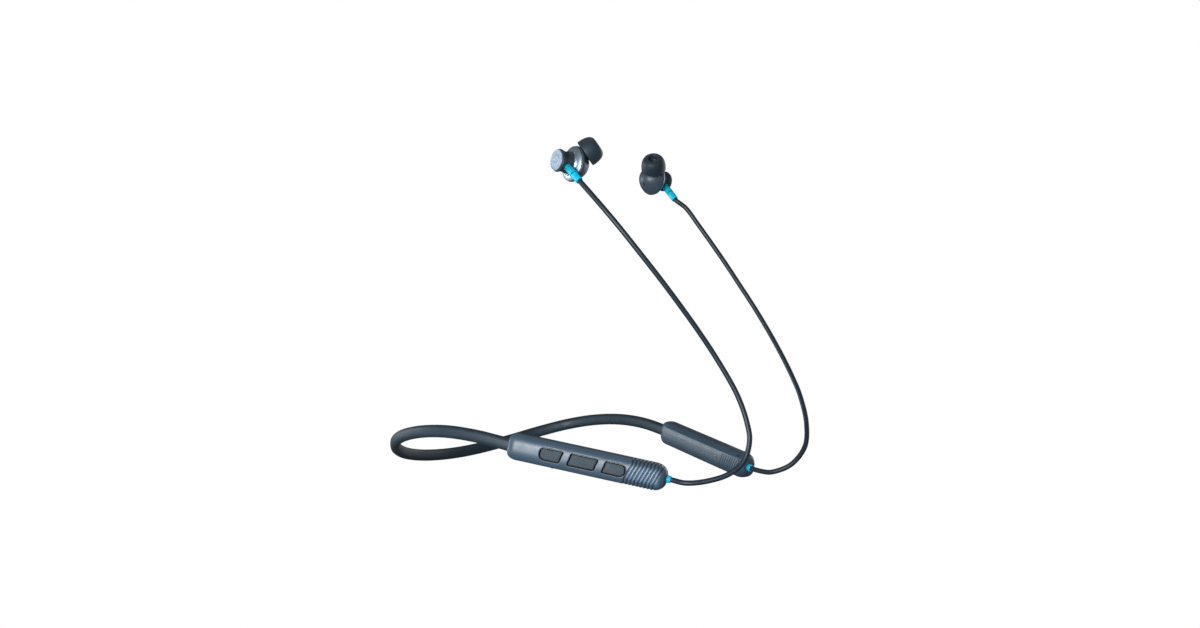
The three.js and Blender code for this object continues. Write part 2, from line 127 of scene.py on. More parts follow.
# Used only here, mm: how the cord is drawn, and where it bends.
CORD_STEP = 0.6
CORD_LEAD = 0.5
CORD_SUNK = 0.4
CORD_SUNK_IN_RELIEF = 0.6


# ---------------------------------------------------------------- camera

def unit(v):
    v = np.asarray(v, float)
    return v / np.linalg.norm(v)


def make_camera():
    azimuth, elevation = math.radians(-55), math.radians(-1.5)
    back = Vector((
        math.sin(azimuth) * math.cos(elevation),
        -math.cos(azimuth) * math.cos(elevation),
        math.sin(elevation),
    ))
    data = bpy.data.cameras.new("camera")
    data.lens = 42.8
    data.sensor_width = 36
    data.clip_start = 0.01
    data.clip_end = 20
    camera = bpy.data.objects.new("camera", data)
    camera.location = (-0.5255, -0.4602, 0.0501)
    camera.rotation_mode = "QUATERNION"
    camera.rotation_quaternion = (-back).to_track_quat("-Z", "Y")
    bpy.context.scene.collection.objects.link(camera)
    bpy.context.scene.camera = camera


# ---------------------------------------------------------------- materials

def new_material(name):
    material = bpy.data.materials.new(name)
    material.use_nodes = True
    nodes = material.node_tree.nodes
    return material, nodes, material.node_tree.links, nodes["Principled BSDF"]


def add_node(nodes, kind, **inputs):
    node = nodes.new(kind)
    for key, value in inputs.items():
        node.inputs[key.replace("_", " ")].default_value = value
    return node


def colour_ramp(nodes, stops):
    ramp = nodes.new("ShaderNodeValToRGB")
    elements = ramp.color_ramp.elements
    while len(elements) < len(stops):
        elements.new(0.5)
    for element, (position, value) in zip(elements, stops):
        element.position = position
        element.color = value if len(value) == 4 else (*value, 1)
    return ramp


def shade(base, factor):
    return tuple(min(1, c * factor) for c in base)


def remapped(nodes, links, source, before, after):
    """A value moved from one range to another."""
    node = add_node(nodes, "ShaderNodeMapRange", From_Min=before[0], From_Max=before[1],
                    To_Min=after[0], To_Max=after[1])
    links.new(source, node.inputs["Value"])
    return node.outputs["Result"]


def calculated(nodes, links, operation, a, b):
    """Two values, each a number or a socket, put through one operation."""
    node = nodes.new("ShaderNodeMath")
    node.operation = operation
    for value, socket in zip((a, b), node.inputs):
        if isinstance(value, float):
            socket.default_value = value
        else:
            links.new(value, socket)
    return node.outputs["Value"]


def tinted(nodes, links, source, base, dark, pale):
    """A colour that goes between a darker and a paler shade of the base."""
    ramp = colour_ramp(nodes, [(dark[0], shade(base, dark[1])), (pale[0], shade(base, pale[1]))])
    links.new(source, ramp.inputs["Fac"])
    return ramp.outputs["Color"]


def bumped(nodes, links, shader, height, strength, distance):
    """Makes a value raise the surface, by a distance in millimetres."""
    bump = add_node(nodes, "ShaderNodeBump", Strength=strength, Distance=distance * MM)
    links.new(height, bump.inputs["Height"])
    links.new(bump.outputs["Normal"], shader.inputs["Normal"])


def moulded(name, base, roughness=0.45, grain=0.15, grain_size=0.12, mottle=0.12, spread=0.08,
            metallic=0.0, specular=0.5, coat=0.0, sheen=0.0, speckle=0.0):
    """Moulded plastic or rubber: grain, faint colour mottle, uneven roughness, and painted shade and painted
    highlight from a per-point attribute.
    """
    material, nodes, links, shader = new_material(name)
    place = nodes.new("ShaderNodeTexCoord")
    cloud = add_node(nodes, "ShaderNodeTexNoise", Scale=190.0, Detail=4.0, Roughness=0.6)
    fine = add_node(nodes, "ShaderNodeTexNoise", Scale=1.0 / (grain_size * MM), Detail=3.0, Roughness=0.55)
    for texture in (cloud, fine):
        links.new(place.outputs["Object"], texture.inputs["Vector"])
    tint = tinted(nodes, links, cloud.outputs["Fac"], base, (0.3, 1 - mottle), (0.7, 1 + mottle))
    dots = remapped(nodes, links, fine.outputs["Fac"], (0.35, 0.65), (1 - speckle, 1 + speckle))
    # Painted shade and painted highlight: the per-point attribute darkens the colour in grooves, gaps and
    # slots, and its negative values make ridges paler.
    painted_shading = nodes.new("ShaderNodeAttribute")
    painted_shading.attribute_name = "painted_shading"
    light = calculated(nodes, links, "SUBTRACT", 1.0, painted_shading.outputs["Fac"])
    shaded = nodes.new("ShaderNodeVectorMath")
    shaded.operation = "SCALE"
    links.new(tint, shaded.inputs[0])
    links.new(calculated(nodes, links, "MULTIPLY", dots, light), shaded.inputs["Scale"])
    links.new(shaded.outputs["Vector"], shader.inputs["Base Color"])
    rough = remapped(nodes, links, cloud.outputs["Fac"], (0.3, 0.7), (roughness - spread, roughness + spread))
    links.new(rough, shader.inputs["Roughness"])
    bumped(nodes, links, shader, fine.outputs["Fac"], grain, 0.02)
    shader.inputs["Metallic"].default_value = metallic
    shader.inputs["Specular IOR Level"].default_value = specular
    shader.inputs["Coat Weight"].default_value = coat
    shader.inputs["Coat Roughness"].default_value = 0.25
    shader.inputs["Sheen Weight"].default_value = sheen
    return material


def cord_jacket(name, base):
    """Elastomer jacket with a fine crossing rib pattern that follows the cord, from the tube's UVs, with
    painted shade in the pattern's grooves and paler crests.
    """
    material, nodes, links, shader = new_material(name)
    place = nodes.new("ShaderNodeTexCoord")
    heights = []
    for lean in (1, -1):
        turn = nodes.new("ShaderNodeMapping")
        turn.inputs["Scale"].default_value = (1, lean * 6, 1)
        links.new(place.outputs["UV"], turn.inputs["Vector"])
        wave = add_node(nodes, "ShaderNodeTexWave", Scale=0.55, Distortion=0.0)
        wave.bands_direction = "DIAGONAL"
        wave.wave_profile = "SIN"
        links.new(turn.outputs["Vector"], wave.inputs["Vector"])
        heights.append(wave.outputs["Fac"])
    both = calculated(nodes, links, "MAXIMUM", *heights)
    bumped(nodes, links, shader, both, 0.1, 0.04)
    # Painted shade and highlight: the colour follows the ribs' height, darker in the grooves.
    links.new(tinted(nodes, links, both, base, (0.25, 0.9), (0.9, 1.1)), shader.inputs["Base Color"])
    shader.inputs["Roughness"].default_value = 0.42
    return material


def brushed(name, base, roughness=0.3, scale=(1, 1, 60), strength=0.12, metallic=1.0):
    """Metal with fine brushing stretched along one axis."""
    material, nodes, links, shader = new_material(name)
    place = nodes.new("ShaderNodeTexCoord")
    stretch = nodes.new("ShaderNodeMapping")
    stretch.inputs["Scale"].default_value = scale
    links.new(place.outputs["Object"], stretch.inputs["Vector"])
    streak = add_node(nodes, "ShaderNodeTexNoise", Scale=900.0, Detail=5.0, Roughness=0.65)
    links.new(stretch.outputs["Vector"], streak.inputs["Vector"])
    value = streak.outputs["Fac"]
    links.new(tinted(nodes, links, value, base, (0.3, 0.9), (0.7, 1.08)), shader.inputs["Base Color"])
    rough = remapped(nodes, links, value, (0, 1), (roughness - 0.07, roughness + 0.1))
    links.new(rough, shader.inputs["Roughness"])
    bumped(nodes, links, shader, value, strength, 0.02)
    shader.inputs["Metallic"].default_value = metallic
    return material


def make_materials():
    return {
        "pod": moulded("pod_satin", (0.062, 0.102, 0.148), roughness=0.40, grain=0.05, grain_size=0.10,
                       mottle=0.05, spread=0.04, specular=0.65, coat=0.1),
        "silicone": moulded("band_silicone", (0.017, 0.035, 0.052), roughness=0.52, grain=0.1,
                            grain_size=0.16, mottle=0.10, speckle=0.06),
        "key": moulded("key_rubber", (0.036, 0.058, 0.078), roughness=0.62, grain=0.9, grain_size=0.3,
                       mottle=0.10, speckle=0.3),
        "accent": moulded("accent_rubber", (0.001, 0.66, 0.90), roughness=0.42, grain=0.2, grain_size=0.15,
                          mottle=0.08),
        "cord": cord_jacket("cord_jacket", (0.014, 0.028, 0.042)),
        "barrel": moulded("barrel_plastic", (0.030, 0.048, 0.066), roughness=0.42, grain=0.10,
                          mottle=0.12, specular=0.6),
        "housing": moulded("housing_satin", (0.058, 0.088, 0.118), roughness=0.4, grain=0.10,
                           mottle=0.1, specular=0.6, coat=0.1),
        "metal": brushed("bright_metal", (0.62, 0.72, 0.84), roughness=0.42, strength=0.02,
                         scale=(1, 1, 8)),
        "cap": brushed("cap_metal", (0.42, 0.52, 0.62), roughness=0.45, scale=(1, 1, 1), strength=0.06,
                       metallic=0.6),
        "tip": moulded("tip_silicone", (0.022, 0.040, 0.056), roughness=0.5, grain=0.12, grain_size=0.1,
                       mottle=0.1, sheen=0.1),
        "steel": brushed("steel", (0.48, 0.50, 0.53), roughness=0.3),
        "board": moulded("solder_mask", (0.012, 0.09, 0.04), roughness=0.35, grain=0.3, grain_size=0.3),
        "chip": moulded("black_resin", (0.012, 0.013, 0.015), roughness=0.45, grain=0.3, grain_size=0.08),
        "cell": moulded("pouch_foil", (0.55, 0.57, 0.6), roughness=0.35, grain=0.4, grain_size=0.6,
                        metallic=0.8),
        "window": moulded("led_window", (0.06, 0.098, 0.14), roughness=0.22, grain=0.05),
    }


# ---------------------------------------------------------------- mesh helpers

def mesh_object(name, points, faces, material, smooth=True, sharp_angle=None, uv=None, painted_shading=None):
    data = bpy.data.meshes.new(name)
    corners = [tuple(p) for p in np.asarray(points) * MM]
    data.from_pydata(corners, [], [tuple(int(i) for i in face) for face in faces])
    data.validate()
    data.materials.append(material)
    piece = bpy.data.objects.new(name, data)
    bpy.context.scene.collection.objects.link(piece)
    if smooth:
        data.shade_smooth()
    if sharp_angle is not None:
        data.set_sharp_from_angle(angle=math.radians(sharp_angle))
    # Per-point painted shade and painted highlight, read by the moulded materials.
    if painted_shading is not None:
        values = data.attributes.new("painted_shading", "FLOAT", "POINT")
        values.data.foreach_set("value", [float(v) for v in painted_shading])
    if uv is not None:
        layer = data.uv_layers.new(name="UVMap")
        for loop in data.loops:
            layer.data[loop.index].uv = uv[loop.vertex_index]
    return piece


def grid_faces(rows, columns, closed):
    """Quads over a grid of points; closed joins the last column to the first."""
    faces = []
    span = columns if closed else columns - 1
    for r in range(rows - 1):
        for c in range(span):
            d = (c + 1) % columns
            faces.append((r * columns + c, r * columns + d, (r + 1) * columns + d, (r + 1) * columns + c))
    return faces


def capped_faces(rows, columns):
    """Quads round a closed tube of points, and a cap on each end."""
    faces = grid_faces(rows, columns, True)
    faces.append(tuple(range(columns))[::-1])
    faces.append(tuple((rows - 1) * columns + k for k in range(columns)))
    return faces


def rounded_profile(points, radius=0.15, steps=4):
    """Fillets the corners of an open or closed [along, radius] profile."""
    points = [np.asarray(p, float) for p in points]
    closed = np.allclose(points[0], points[-1])
    core = points[:-1] if closed else points
    count = len(core)
    result = []
    for i, p in enumerate(core):
        if not closed and i in (0, count - 1):
            result.append(p)
            continue
        before, after = core[i - 1], core[(i + 1) % count]
        a, b = before - p, after - p
        la, lb = np.linalg.norm(a), np.linalg.norm(b)
        straightness = float(np.dot(a, b) / (la * lb))
        if straightness < -0.97:
            result.append(p)
            continue
        reach = min(radius, 0.42 * la, 0.42 * lb)
        p0, p1 = p + a / la * reach, p + b / lb * reach
        for k in range(steps + 1):
            t = k / steps
            result.append((1 - t) ** 2 * p0 + 2 * t * (1 - t) * p + t * t * p1)
    if closed:
        result.append(result[0].copy())
    return result


def placement(origin, along, towards):
    """Columns are local X, Y and Z in the row frame; returns a function from local mm to row mm."""
    x = unit(along)
    z = np.asarray(towards, float)
    z = unit(z - z.dot(x) * x)
    axes = np.stack([x, np.cross(z, x), z])
    origin = np.asarray(origin, float)
    return lambda points: np.asarray(points, float) @ axes + origin


def turned(name, profile, place, material, segments=64, radius=0.15, sharp=40):
    """A turned body about local X. Points on the axis close it."""
    outline = rounded_profile(profile, radius)
    closed = np.allclose(outline[0], outline[-1])
    if closed:
        outline = outline[:-1]
    angles = 2 * np.pi * np.arange(segments) / segments
    points, rings = [], []
    for along, r in outline:
        if r < 1e-6:
            rings.append([len(points)])
            points.append((along, 0, 0))
        else:
            rings.append(list(range(len(points), len(points) + segments)))
            points.extend((along, r * math.cos(a), r * math.sin(a)) for a in angles)
    faces = []
    pairs = list(zip(rings, rings[1:] + rings[:1] if closed else rings[1:]))
    for low, high in pairs:
        for k in range(segments):
            n = (k + 1) % segments
            if len(low) == 1:
                faces.append((low[0], high[n], high[k]))
            elif len(high) == 1:
                faces.append((low[k], low[n], high[0]))
            else:
                faces.append((low[k], low[n], high[n], high[k]))
    return mesh_object(name, place(points), faces, material, sharp_angle=sharp)


def facing_out(piece):
    """Recalculates a piece's face directions so that they point outwards."""
    mesh = bmesh.new()
    mesh.from_mesh(piece.data)
    bmesh.ops.recalc_face_normals(mesh, faces=mesh.faces)
    mesh.to_mesh(piece.data)
    mesh.free()
    return piece


def stand_in(piece, body, slot, *nodes):
    """Makes a piece ride a body in place of CAD nodes; its slot argument is not used."""
    facing_out(piece)
    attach(piece, body)
    if nodes:
        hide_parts(*nodes)
    return piece


def joined(name, *pieces):
    """Joins pieces into the first and gives it a name."""
    bpy.ops.object.select_all(action="DESELECT")
    for piece in pieces:
        piece.select_set(True)
    bpy.context.view_layer.objects.active = pieces[0]
    bpy.ops.object.join()
    pieces[0].name = name
    pieces[0].data.name = name
    return pieces[0]


# ---------------------------------------------------------------- routes and tubes

def catmull_rom(points, per_span=24):
    """A centripetal Catmull-Rom curve through points, the same curve as the CAD model's."""
    points = [np.asarray(p, float) for p in points]
    ghosts = [2 * points[0] - points[1], *points, 2 * points[-1] - points[-2]]
    result = []
    for i in range(len(points) - 1):
        p0, p1, p2, p3 = ghosts[i:i + 4]
        spans = ((p0, p1), (p1, p2), (p2, p3))
        d0, d1, d2 = (max(np.linalg.norm(b - a) ** 0.5, 1e-4) for a, b in spans)
        m1 = ((p1 - p0) / d0 - (p2 - p0) / (d0 + d1) + (p2 - p1) / d1) * d1
        m2 = ((p2 - p1) / d1 - (p3 - p1) / (d1 + d2) + (p3 - p2) / d2) * d1
        for k in range(per_span):
            t = k / per_span
            t2, t3 = t * t, t ** 3
            at_ends = (2 * t3 - 3 * t2 + 1) * p1 + (t3 - 2 * t2 + t) * m1
            result.append(at_ends + (3 * t2 - 2 * t3) * p2 + (t3 - t2) * m2)
    result.append(points[-1])
    return np.array(result)


def lengths_along(line):
    """Distance from the line's start to each of its points."""
    return np.r_[0, np.cumsum(np.linalg.norm(np.diff(line, axis=0), axis=1))]


def resampled(line, distances):
    """Points on the line at these distances from its start."""
    along = lengths_along(line)
    return np.stack([np.interp(distances, along, line[:, k]) for k in range(3)], axis=1)


def superellipse(half_width, half_height, roundness, count):
    """Evenly spaced points round a superellipse."""
    angle = np.linspace(0, 2 * np.pi, 2001)
    c, s = np.cos(angle), np.sin(angle)
    dense = np.stack([
        half_width * np.sign(c) * np.abs(c) ** (2 / roundness),
        half_height * np.sign(s) * np.abs(s) ** (2 / roundness),
    ], axis=1)
    along = np.r_[0, np.cumsum(np.linalg.norm(np.diff(dense, axis=0), axis=1))]
    at = np.arange(count) / count * along[-1]
    return np.stack([np.interp(at, along, dense[:, k]) for k in range(2)], axis=1)


def upright_frames(line):
    """Frames along a line whose third axis stays as near to +Z as it can."""
    tangents = np.gradient(line, axis=0)
    tangents /= np.linalg.norm(tangents, axis=1)[:, None]
    up = np.array([0, 0, 1.0]) - tangents * tangents[:, 2:3]
    up /= np.linalg.norm(up, axis=1)[:, None]
    return tangents, np.cross(up, tangents), up


def carried_frames(line):
    """Frames carried along a line without twisting."""
    tangents = np.gradient(line, axis=0)
    tangents /= np.linalg.norm(tangents, axis=1)[:, None]
    side = unit(np.cross(tangents[0], [0, 0, 1.0]))
    sides = []
    for tangent in tangents:
        side = unit(side - side.dot(tangent) * tangent)
        sides.append(side)
    sides = np.array(sides)
    return tangents, sides, np.cross(tangents, sides)


def tube(name, line, section, frames, material, scales=None):
    """Sweeps a section along a line, with capped ends. UVs hold millimetres along and the turn."""
    _, sides, ups = frames
    rows, columns = len(line), len(section)
    scales = np.ones((rows, 2)) if scales is None else scales
    points = np.empty((rows, columns, 3))
    for k, (a, b) in enumerate(section):
        points[:, k] = line + sides * (a * scales[:, :1]) + ups * (b * scales[:, 1:])
    along = lengths_along(line)
    uv = [(along[r], k / columns) for r in range(rows) for k in range(columns)]
    points = points.reshape(-1, 3)
    return mesh_object(name, points, capped_faces(rows, columns), material, sharp_angle=50, uv=uv)


# ---------------------------------------------------------------- cords

def earbud_place(side):
    """Local X runs along the barrel towards the ear, and Z leans to the nozzle."""
    bud = EARBUDS[side]
    return placement(bud["centre"], bud["barrel"], bud["nozzle"])


def relief_root(side):
    """The point on the barrel's axis that the strain relief grows from."""
    bud = EARBUDS[side]
    return np.array(bud["centre"]) + unit(bud["barrel"]) * RELIEF_ALONG


def pod_direction(sign):
    """From the pod's rear to its front."""
    return unit((POD_FRONT - POD_REAR) * (sign, 1, 1))


def cord_route(side):
    """The cord's centreline, from inside the pod's collar to inside the earbud's relief."""
    bud = EARBUDS[side]
    sign = bud["sign"]
    start = POD_FRONT * (sign, 1, 1) + pod_direction(sign) * (COLLAR_LENGTH - CORD_SUNK)
    end = relief_root(side) + unit(bud["exit"]) * (RELIEF_END - CORD_SUNK_IN_RELIEF)
    low = POD_FRONT * (sign, 1, 1) + pod_direction(sign) * (COLLAR_LENGTH + CORD_LEAD)
    high = relief_root(side) + unit(bud["exit"]) * (RELIEF_END + CORD_LEAD)
    return catmull_rom([start, low, *bud["route"], high, end])


def make_cord(side, material):
    """One cord."""
    route = cord_route(side)
    total = lengths_along(route)[-1]
    line = resampled(route, np.linspace(0, total, int(total / CORD_STEP)))
    section = superellipse(CORD_DIAMETER / 2, CORD_DIAMETER / 2, 2, 20)
    piece = tube(f"{side}_cord_jacket", line, section, carried_frames(line), material)
    facing_out(piece)
    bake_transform(piece)
    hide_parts(f"{side}_cord")
    return piece


# ---------------------------------------------------------------- band

def band_line():
    """The left half of the band's centreline, from the nape into the pod."""
    direction = unit(POD_FRONT - POD_REAR)
    inside = POD_REAR + direction * WIRE_REACH
    half = [np.array(p, float) for p in BAND_ROUTE] + [POD_REAR, inside]
    flipped = [p * (-1, 1, 1) for p in half][::-1]
    whole = catmull_rom([*flipped, np.array([0, BAND_HALF_THICKNESS, 0.0]), *half])
    middle = len(whole) // 2
    return whole[middle:]


def make_band(sign, materials):
    """Half of the band with its spring wire and harness."""
    side = "left" if sign > 0 else "right"
    route = band_line() * (sign, 1, 1)
    total = lengths_along(route)[-1]
    end = total - WIRE_REACH
    distances = np.linspace(0, end + 0.3, 170)
    line = resampled(route, distances)
    scales = np.ones((len(line), 2))
    swell = np.clip((distances - (end - 5)) / 5, 0, 1)[:, None] ** 2
    scales += swell * (0.05, 0.05)
    section = superellipse(BAND_HALF_THICKNESS, BAND_HALF_HEIGHT, BAND_ROUNDNESS, 48)
    band = tube(f"{side}_band_half", line, section, upright_frames(line), materials["silicone"], scales)
    nodes = [f"band_{side}_arm"] + (["band_nape"] if side == "right" else [])
    wires = []
    for name, offset, slot in (("memory_wire", 1, "steel"), ("signal_harness", -1, "chip")):
        core = resampled(route, np.linspace(0, total, 90))
        ring = superellipse(WIRE_RADIUS, WIRE_RADIUS, 2, 12) + (0, offset * WIRE_OFFSET)
        wire = tube(f"{side}_{name}", core, ring, upright_frames(core), materials[slot])
        replaced = [f"{name}_{side}_arm"] + ([f"{name}_nape"] if side == "right" else [])
        wires.append((wire, slot, replaced))
    for piece, slot, replaced in [(band, "silicone", nodes), *wires]:
        facing_out(piece)
        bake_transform(piece)
        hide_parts(*replaced)


# ---------------------------------------------------------------- pods

def pod_place(sign):
    """Local mm to row mm. Local Y is outwards on both pods, so the right pod is a mirror image."""
    rear = POD_REAR * (sign, 1, 1)
    to_row = placement(rear, pod_direction(sign), (0, 0, 1))
    return lambda points: to_row(np.asarray(points, float) * (1, sign, 1))


def rounding(distance, reach):
    """Share of the full size that an end's rounding has reached."""
    return np.sqrt(1 - (1 - np.clip(distance / reach, 0, 1)) ** 2)


def pod_half_sizes(x):
    """Half thickness and half height of the pod's outside at a distance from its rear."""
    sizes = []
    for name, full in (("thickness", POD_HALF_THICKNESS), ("height", POD_HALF_HEIGHT)):
        near_ends = [
            end[name] + (full - end[name]) * rounding(distance, end[f"{name}_reach"])
            for end, distance in ((POD_TAIL, x), (POD_NOSE, POD_LENGTH - x))
        ]
        sizes.append(np.minimum(*near_ends))
    return sizes


def smoothstep(a, b, x):
    """0 before a, 1 after b, and an eased rise between them."""
    t = np.clip((x - a) / (b - a), 0, 1)
    return t * t * (3 - 2 * t)


def key_outline(key, grow, corner=0.55):
    """The key's outline in local X and Z, as a closed list of points."""
    h = KEY_HALF_HEIGHT + grow
    a, b = key["from"] - grow, key["to"] + grow
    lean = KEY_SLANT * h
    corners = [(a - lean, -h), (b - lean, -h), (b + lean, h), (a + lean, h)]
    radii = [corner] * 4
    if key["round"] == "rear":
        corners[0], corners[3] = (a, -h), (a, h)
        radii[0] = radii[3] = h
    if key["round"] == "front":
        corners[1], corners[2] = (b, -h), (b, h)
        radii[1] = radii[2] = h
    points = []
    for i, p in enumerate(corners):
        p = np.array(p)
        u = unit(np.array(corners[i - 1]) - p)
        v = unit(np.array(corners[(i + 1) % 4]) - p)
        reach = radii[i]
        for t in np.linspace(0, 1, 15):
            points.append((1 - t) ** 2 * (p + u * reach) + 2 * t * (1 - t) * p + t * t * (p + v * reach))
    kept = [points[0]]
    for p in points[1:]:
        if np.linalg.norm(p - kept[-1]) > 0.02:
            kept.append(p)
    return np.array(kept) - (0, KEY_DROP)


def signed_distance(points, outline):
    """Distance from points to a closed outline, negative inside."""
    a, b = outline, np.roll(outline, -1, axis=0)
    ab = b - a
    best = np.full(len(points), 1e9)
    inside = np.zeros(len(points), bool)
    for i in range(len(a)):
        ap = points - a[i]
        t = np.clip(ap @ ab[i] / max(ab[i] @ ab[i], 1e-12), 0, 1)
        best = np.minimum(best, np.linalg.norm(ap - t[:, None] * ab[i], axis=1))
        crosses = (a[i, 1] > points[:, 1]) != (b[i, 1] > points[:, 1])
        if crosses.any():
            x = a[i, 0] + (points[:, 1] - a[i, 1]) / (b[i, 1] - a[i, 1] + 1e-15) * ab[i, 0]
            inside ^= crosses & (points[:, 0] < x)
    return np.where(inside, -best, best)


def spaced(stops):
    """Positions from a list of (start, end, spacing) stretches, without near doubles."""
    counts = [max(2, int(round((b - a) / step)) + 1) for a, b, step in stops]
    values = np.concatenate([np.linspace(a, b, count) for (a, b, _), count in zip(stops, counts)])
    values = np.sort(values)
    keep = [values[0]]
    for value in values[1:]:
        if value - keep[-1] > 0.03:
            keep.append(value)
    return np.array(keep)


def rib_depth(x, z, depth):
    """Depth of the slanted rib grooves at points of the pod's surface."""
    leaned = x - RIBS["slant"] * np.clip(z, -RIBS["slant_height"], RIBS["slant_height"])
    turns = (leaned - RIBS["first"]) / RIBS["pitch"]
    nearest = np.clip(np.round(turns), 0, RIBS["grooves"] - 1)
    away = np.abs(turns - nearest)
    return depth * (0.5 + 0.5 * np.cos(np.pi * np.clip(away / 0.5, 0, 1))) ** 1.9


def closed_shell(name, outer, inner, keep, place, material, painted_shading=None):
    """A thin closed body between two grids of points. keep says which cells are there."""
    rows, columns = outer.shape[:2]
    count = rows * columns
    at = lambda r, c: r * columns + c
    faces = []
    for r in range(rows - 1):
        for c in range(columns - 1):
            if not keep[r, c]:
                continue
            quad = (at(r, c), at(r, c + 1), at(r + 1, c + 1), at(r + 1, c))
            faces.append(quad)
            faces.append(tuple(i + count for i in quad[::-1]))
            for (dr, dc), (i, j) in {
                (-1, 0): (at(r, c), at(r, c + 1)), (1, 0): (at(r + 1, c + 1), at(r + 1, c)),
                (0, -1): (at(r + 1, c), at(r, c)), (0, 1): (at(r, c + 1), at(r + 1, c + 1)),
            }.items():
                rr, cc = r + dr, c + dc
                if not (0 <= rr < rows - 1 and 0 <= cc < columns - 1) or not keep[rr, cc]:
                    faces.append((j, i, i + count, j + count))
    points = np.concatenate([outer.reshape(-1, 3), inner.reshape(-1, 3)])
    used = sorted({i for f in faces for i in f})
    index = {old: new for new, old in enumerate(used)}
    faces = [tuple(index[i] for i in f) for f in faces]
    # Painted shade and painted highlight, the same on both faces of the shell.
    if painted_shading is not None:
        painted_shading = np.concatenate([painted_shading.ravel(), painted_shading.ravel()])[used]
    return mesh_object(name, place(points[used]), faces, material, sharp_angle=42, painted_shading=painted_shading)


def section_angles(heights):
    """Section angles of points at these heights on the outer face of the full section."""
    share = np.abs(heights) / POD_HALF_HEIGHT
    return np.sign(heights) * np.arcsin(share ** (POD_ROUNDNESS / 2))


def half_grid(xs, angles, slant_at):
    """Points of the outer half of the pod. Columns of the grid lean with the keys and the ribs."""
    c, s = np.cos(angles), np.sin(angles)
    across = np.abs(c) ** (2 / POD_ROUNDNESS)
    up = np.sign(s) * np.abs(s) ** (2 / POD_ROUNDNESS)
    _, height = pod_half_sizes(xs)
    lean = np.clip(height[:, None] * up[None], -RIBS["slant_height"], RIBS["slant_height"])
    x = xs[:, None] + slant_at(xs)[:, None] * lean
    thick, height = pod_half_sizes(x)
    return np.stack([x, thick * across[None], height * up[None]], axis=2)


def shell_slant(at, keyed):
    """How far the grid's columns lean: with the keys, then with the ribs, then upright at the nose."""
    if keyed:
        lean = KEY_SLANT * smoothstep(8, 13, at)
    else:
        lean = RIBS["slant"] * smoothstep(44, 50.5, at)
    lean = lean + (RIBS["slant"] - lean) * smoothstep(50.4, 51.2, at)
    return lean * (1 - smoothstep(64.8, POD_LENGTH - 0.8, at))


def shell_columns(keys, port, window):
    """Distances from the pod's rear where the shell has points: close together round details."""
    nose = POD_LENGTH - 1.6
    stops = [
        (0, 0.5, 0.05), (0.5, 2, 0.15), (2, 5, 0.3), (5, 50, 0.8), (50.2, nose, 0.11),
        (nose, POD_LENGTH - 0.4, 0.1), (POD_LENGTH - 0.4, POD_LENGTH, 0.04),
    ]
    if keys:
        stops.append((13.0, 51.2, 0.17))
    for key in keys:
        for edge in (key["from"], key["to"]):
            stops.append((edge - 0.6, edge + 0.6, 0.06))
    if port:
        stops.append((PORT["from"], PORT["to"], 0.4))
    if window:
        stops.append((LED_AT - 1.6, LED_AT + 1.6, 0.1))
    return spaced(stops)


def shell_angles(keys, inner, window, port_edge=None):
    """Section angles where the shell has points, from its lower parting edge to its upper one."""
    highest = POD_HALF_HEIGHT - 0.04
    rows = [(-highest, -5.3, 0.09), (-5.3, 5.3, 0.3), (5.3, highest, 0.09)]
    if keys:
        rows.append((-3.5, 3.2, 0.16))
        for edge in (-KEY_HALF_HEIGHT - KEY_DROP, KEY_HALF_HEIGHT - KEY_DROP):
            rows.append((edge - 0.55, edge + 0.55, 0.06))
    if inner:
        rows.append((2.4, 5.3, 0.12))
    if window:
        rows.append((-1.4, 1.4, 0.1))
    angles = section_angles(spaced(rows))
    to_edge = np.linspace(0, 0.85, 8)
    below = -(np.pi / 2 - (np.pi / 2 - abs(angles[0])) * to_edge)
    above = (np.pi / 2 - (np.pi / 2 - abs(angles[-1])) * to_edge)[::-1]
    angles = np.concatenate([below, angles, above])
    if port_edge is not None:
        angles = np.append(angles, -port_edge)
    return np.unique(np.round(np.sort(angles), 5))


def outer_relief(x, z):
    """Depth of the outer half's ribs, and its painted shading: painted shade in the grooves and a painted
    highlight on the ridges.
    """
    depth = rib_depth(x, z, RIBS["outer_depth"])
    groove = depth / RIBS["outer_depth"]
    # Painted highlight: in the middle of the ribbed band the ridges are made paler, standing for light on
    # them.
    painted_ridge_highlight = smoothstep(51.2, 52, x) * (1 - smoothstep(63.4, 65.5, x))
    painted_ridge_highlight = painted_ridge_highlight * (1 - smoothstep(2.2, 3.8, np.abs(z)))
    # Painted shade darkens the grooves.
    return depth, 0.75 * groove ** 1.6 - 1.5 * painted_ridge_highlight * (1 - groove)


def inner_relief(x, y, z, window):
    """Depth of the inner half's ribs, long crease, front notch and LED seat, and its painted shade values."""
    depth = rib_depth(x, z, RIBS["inner_depth"]) * (1 - smoothstep(2.2, 3.8, z))
    depth = np.maximum(depth, rib_depth(x, z, RIBS["outer_depth"]) * (1 - smoothstep(0.2, 1.6, y)))
    # Painted shade in the rib grooves.
    painted_shading = 0.5 * depth
    crease = smoothstep(4, 9, x) * (1 - smoothstep(60, 64, x))
    step = smoothstep(3.3, 4.1, z)
    depth = depth + crease * 0.26 * step * (1 - smoothstep(4.7, 5.66, z))
    notch = np.exp(-((x - 62.6) / 1.1) ** 2 - ((z - 4.5) / 0.45) ** 2)
    depth = depth + 0.3 * notch
    # Painted shade: darker above the crease, in the notch and towards the pod's front end.
    painted_shading = painted_shading + 0.2 * crease * step + 0.7 * notch + 0.25 * smoothstep(61, 65, x)
    if window:
        away = np.hypot(x - LED_AT, z)
        depth = depth + 0.03 * (1 - smoothstep(LED_RADIUS + 0.02, LED_RADIUS + 0.2, away)) * (y > 3)
    return depth, painted_shading


